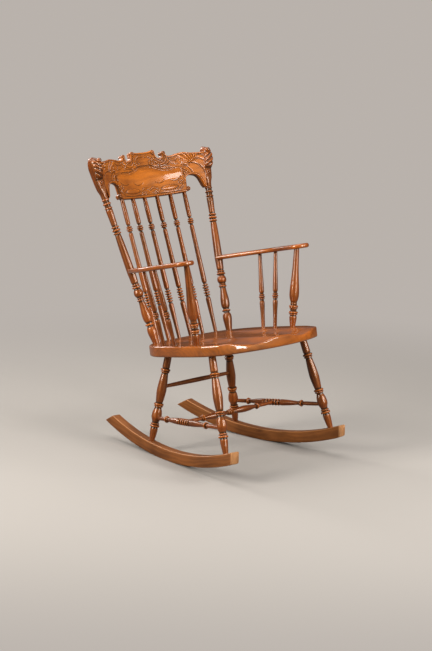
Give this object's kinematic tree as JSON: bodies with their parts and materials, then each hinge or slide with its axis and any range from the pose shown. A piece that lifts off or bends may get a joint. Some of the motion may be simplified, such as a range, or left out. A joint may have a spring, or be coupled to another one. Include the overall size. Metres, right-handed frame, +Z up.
{
  "type": "boston rocking chair",
  "caption": "Spindle-back rocking armchair with a saddled seat, turned legs, posts and stretchers, curved arms and a carved, bent crest rail, standing on two sawn rockers.",
  "frame": {"origin": "on the floor, midway between the two lines on which the rockers stand at rest, in the chair's plane of symmetry", "axes": "+X to the sitter's left, -Y the way the chair faces, +Z up"},
  "size_m": [0.6, 0.7552, 0.9725],
  "materials": {
    "seat_wood": "gloss varnish",
    "turned_wood": "gloss varnish",
    "arm_wood": "gloss varnish",
    "carved_wood": "gloss varnish over carving",
    "rocker_wood": "satin, worn",
    "dowel_wood": "bare",
    "screw_steel": "dull"
  },
  "bodies": {
    "root": {"seat": "seat_wood", "rocker_left": "rocker_wood", "rocker_right": "rocker_wood", "front_leg_left": "turned_wood", "front_leg_right": "turned_wood", "rear_leg_left": "turned_wood", "rear_leg_right": "turned_wood", "side_stretcher_left": "turned_wood", "side_stretcher_right": "turned_wood", "centre_stretcher": "turned_wood", "rear_stretcher": "turned_wood", "back_post_left": "turned_wood", "back_post_right": "turned_wood", "back_spindle_1": "turned_wood", "back_spindle_2": "turned_wood", "back_spindle_3": "turned_wood", "back_spindle_4": "turned_wood", "back_spindle_5": "turned_wood", "back_spindle_6": "turned_wood", "crest_rail": "carved_wood", "arm_left": "arm_wood", "arm_right": "arm_wood", "arm_post_left": "turned_wood", "arm_post_right": "turned_wood", "rear_arm_spindle_left": "turned_wood", "rear_arm_spindle_right": "turned_wood", "front_arm_spindle_left": "turned_wood", "front_arm_spindle_right": "turned_wood", "arm_screws": "screw_steel", "crest_dowels": "dowel_wood"}
  },
  "joints": []
}
